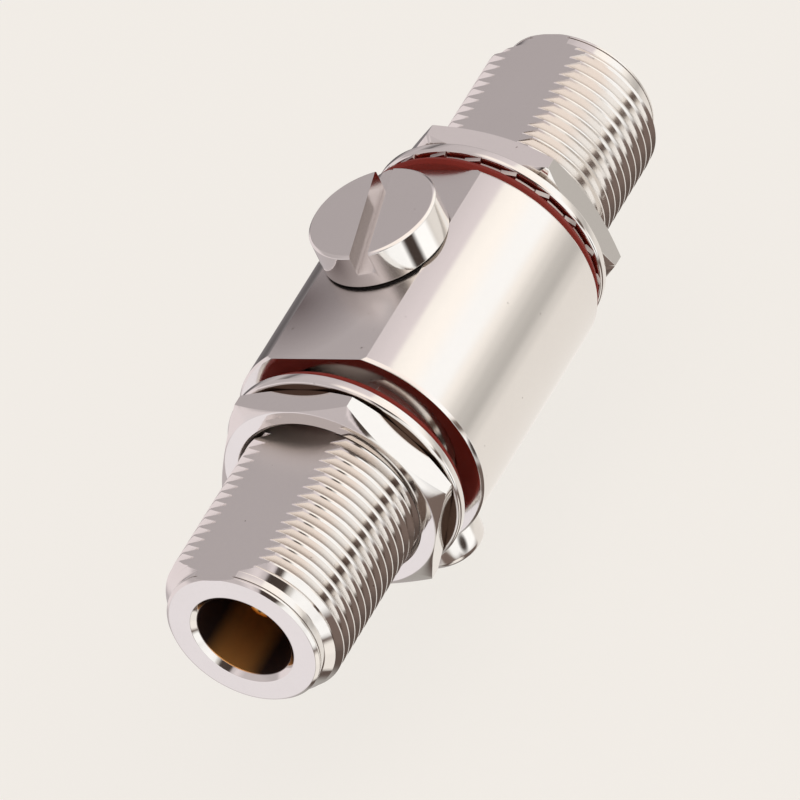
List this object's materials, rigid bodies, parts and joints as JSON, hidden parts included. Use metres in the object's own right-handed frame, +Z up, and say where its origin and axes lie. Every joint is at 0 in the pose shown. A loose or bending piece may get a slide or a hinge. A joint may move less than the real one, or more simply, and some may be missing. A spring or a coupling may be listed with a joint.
{
  "type": "coaxial lightning arrestor",
  "caption": "Nickel plated coaxial surge arrestor: threaded socket jacks on both ends of a round body, panel nuts, red gaskets and a slotted cap over a gas tube.",
  "frame": {"origin": "on the line's axis at the front jack's reference plane, where the front contact's insulator is retained", "axes": "+X along the line from the front jack towards the rear jack, +Z up through the slotted cap"},
  "size_m": [0.0672, 0.0222, 0.0286],
  "materials": {
    "nickel_body": "bright nickel plate over turned brass",
    "nickel_nut": "bright nickel plate over turned and milled brass",
    "nickel_washer": "bright nickel plate on pressed brass",
    "nickel_screw": "bright nickel plate on steel",
    "red_rubber": "smooth dark red silicone rubber",
    "seal_rubber": "thin black sealing ring",
    "gold_plate": "gold plate",
    "amber_resin": "smooth dark amber resin",
    "plain_brass": "bare turned brass",
    "electrode_nickel": "dull nickel",
    "ceramic": "white fired alumina",
    "spring_steel": "bright drawn wire"
  },
  "bodies": {
    "root": {"body": "nickel_body", "front_jack_shell": "nickel_body", "front_gasket": "red_rubber", "rear_gasket": "red_rubber", "front_contact": "gold_plate", "rear_contact": "gold_plate", "front_insulator": "amber_resin", "rear_insulator": "amber_resin", "centre_conductor": "plain_brass", "gas_tube_bottom_electrode": "electrode_nickel", "gas_tube_ceramic": "ceramic", "gas_tube_top_electrode": "electrode_nickel"},
    "front_washers": {"front_flat_washer": "nickel_washer"},
    "front_nut": {"front_nut": "nickel_nut"},
    "rear_washers": {"rear_tooth_washer": "nickel_washer", "rear_flat_washer": "nickel_washer"},
    "rear_nut": {"rear_nut": "nickel_nut"},
    "cap_carrier": {"cap_seal": "seal_rubber", "contact_spring": "spring_steel"},
    "tube_cap": {"tube_cap": "nickel_body"},
    "ground_washers": {"ground_flat_washer": "nickel_screw", "ground_lock_washer": "nickel_screw"},
    "ground_screw": {"ground_screw": "nickel_screw"}
  },
  "joints": [
    {"name": "front_washer_slide", "type": "slide", "parent": "root", "child": "front_washers", "axis": [-1, 0, 0], "range_m": [0, 0.012]},
    {"name": "front_nut_turn", "type": "hinge", "parent": "front_washers", "child": "front_nut", "pos_m": [0.0079, 0, 0], "axis": [-1, 0, 0], "range_deg": [0, 4090]},
    {"name": "rear_washer_slide", "type": "slide", "parent": "root", "child": "rear_washers", "axis": [1, 0, 0], "range_m": [0, 0.012]},
    {"name": "rear_nut_turn", "type": "hinge", "parent": "rear_washers", "child": "rear_nut", "pos_m": [0.03988, 0, 0], "axis": [1, 0, 0], "range_deg": [0, 4090]},
    {"name": "cap_rise", "type": "slide", "parent": "root", "child": "cap_carrier", "axis": [0, 0, 1], "range_m": [0, 0.0035]},
    {"name": "cap_turn", "type": "hinge", "parent": "cap_carrier", "child": "tube_cap", "pos_m": [0.02798, 0, 0.0102], "axis": [0, 0, 1], "range_deg": [0, 1270]},
    {"name": "ground_washer_drop", "type": "slide", "parent": "root", "child": "ground_washers", "axis": [0, 0, -1], "range_m": [0, 0.0023]},
    {"name": "ground_screw_turn", "type": "hinge", "parent": "ground_washers", "child": "ground_screw", "pos_m": [0.01855, 0, -0.0122], "axis": [0, 0, -1], "range_deg": [0, 1050]}
  ],
  "couplings": [
    {"joint": "front_nut_turn", "follows": "front_washer_slide", "rad_per_m": 5936.9},
    {"joint": "rear_nut_turn", "follows": "rear_washer_slide", "rad_per_m": 5936.9},
    {"joint": "cap_turn", "follows": "cap_rise", "rad_per_m": 6283.2},
    {"joint": "ground_screw_turn", "follows": "ground_washer_drop", "rad_per_m": 7915.8}
  ]
}
